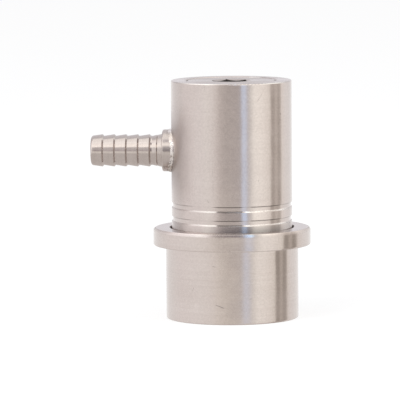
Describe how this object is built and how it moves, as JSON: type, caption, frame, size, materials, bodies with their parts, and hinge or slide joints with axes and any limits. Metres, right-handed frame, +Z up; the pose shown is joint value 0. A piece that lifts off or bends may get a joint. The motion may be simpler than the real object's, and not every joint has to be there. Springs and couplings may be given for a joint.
{
  "type": "ball lock quick disconnect",
  "caption": "Quick disconnect with a sprung sliding collar, radial locking balls, a sprung valve poppet, a socket-headed cap and a ridged side barb for hose.",
  "frame": {"origin": "centre of the locking collar's bottom rim, on the body's axis, with the collar at rest", "axes": "+Z up along the body's axis, from the post socket to the cap; the hose barb points along -X; the picture looks along +Y"},
  "size_m": [0.051, 0.0366, 0.0553],
  "materials": {
    "body_steel": "turned satin stainless steel",
    "barb_steel": "turned satin stainless steel",
    "weld_steel": "bright cast-looking weld metal, rippled",
    "cap_steel": "faced stainless steel with fine rings",
    "collar_steel": "finely turned, slightly matt stainless steel",
    "seat_ring_steel": "ground stainless steel",
    "poppet_steel": "turned stainless steel",
    "ball_steel": "polished hardened steel balls",
    "spring_steel": "drawn spring steel",
    "seal_rubber": "black nitrile rubber"
  },
  "bodies": {
    "housing": {"main_body": "body_steel", "hose_barb": "barb_steel", "barb_weld": "weld_steel", "top_cap": "cap_steel", "cap_o_ring": "seal_rubber", "retaining_ring": "spring_steel", "collar_spring": "spring_steel", "valve_spring": "spring_steel"},
    "spring_ring": {"spring_seat_ring": "seat_ring_steel"},
    "collar": {"locking_collar": "collar_steel"},
    "poppet": {"valve_poppet": "poppet_steel", "poppet_o_ring": "seal_rubber"},
    "locking_ball_1": {"ball_1": "ball_steel"},
    "locking_ball_2": {"ball_2": "ball_steel"},
    "locking_ball_3": {"ball_3": "ball_steel"},
    "locking_ball_4": {"ball_4": "ball_steel"},
    "locking_ball_5": {"ball_5": "ball_steel"},
    "locking_ball_6": {"ball_6": "ball_steel"},
    "locking_ball_7": {"ball_7": "ball_steel"},
    "locking_ball_8": {"ball_8": "ball_steel"}
  },
  "joints": [
    {"name": "collar_lift", "type": "slide", "parent": "housing", "child": "spring_ring", "axis": [0, 0, 1], "range_m": [0, 0.004], "stiffness_N_per_m": 1500, "springref_m": -0.004, "deforming": ["collar_spring"]},
    {"name": "collar_spin", "type": "hinge", "parent": "spring_ring", "child": "collar", "pos_m": [0, 0, 0.0086], "axis": [0, 0, 1], "continuous": true},
    {"name": "valve_lift", "type": "slide", "parent": "housing", "child": "poppet", "axis": [0, 0, 1], "range_m": [0, 0.003], "stiffness_N_per_m": 600, "springref_m": -0.004, "deforming": ["valve_spring"]},
    {"name": "ball_1_out", "type": "slide", "parent": "housing", "child": "locking_ball_1", "axis": [1, 0, 0], "range_m": [0, 0.0011]},
    {"name": "ball_2_out", "type": "slide", "parent": "housing", "child": "locking_ball_2", "axis": [0.7071, 0.7071, 0], "range_m": [0, 0.0011]},
    {"name": "ball_3_out", "type": "slide", "parent": "housing", "child": "locking_ball_3", "axis": [0, 1, 0], "range_m": [0, 0.0011]},
    {"name": "ball_4_out", "type": "slide", "parent": "housing", "child": "locking_ball_4", "axis": [-0.7071, 0.7071, 0], "range_m": [0, 0.0011]},
    {"name": "ball_5_out", "type": "slide", "parent": "housing", "child": "locking_ball_5", "axis": [-1, 0, 0], "range_m": [0, 0.0011]},
    {"name": "ball_6_out", "type": "slide", "parent": "housing", "child": "locking_ball_6", "axis": [-0.7071, -0.7071, 0], "range_m": [0, 0.0011]},
    {"name": "ball_7_out", "type": "slide", "parent": "housing", "child": "locking_ball_7", "axis": [0, -1, 0], "range_m": [0, 0.0011]},
    {"name": "ball_8_out", "type": "slide", "parent": "housing", "child": "locking_ball_8", "axis": [0.7071, -0.7071, 0], "range_m": [0, 0.0011]}
  ],
  "couplings": [
    {"joint": "ball_1_out", "follows": "collar_lift", "ratio": 0.275},
    {"joint": "ball_2_out", "follows": "collar_lift", "ratio": 0.275},
    {"joint": "ball_3_out", "follows": "collar_lift", "ratio": 0.275},
    {"joint": "ball_4_out", "follows": "collar_lift", "ratio": 0.275},
    {"joint": "ball_5_out", "follows": "collar_lift", "ratio": 0.275},
    {"joint": "ball_6_out", "follows": "collar_lift", "ratio": 0.275},
    {"joint": "ball_7_out", "follows": "collar_lift", "ratio": 0.275},
    {"joint": "ball_8_out", "follows": "collar_lift", "ratio": 0.275}
  ]
}
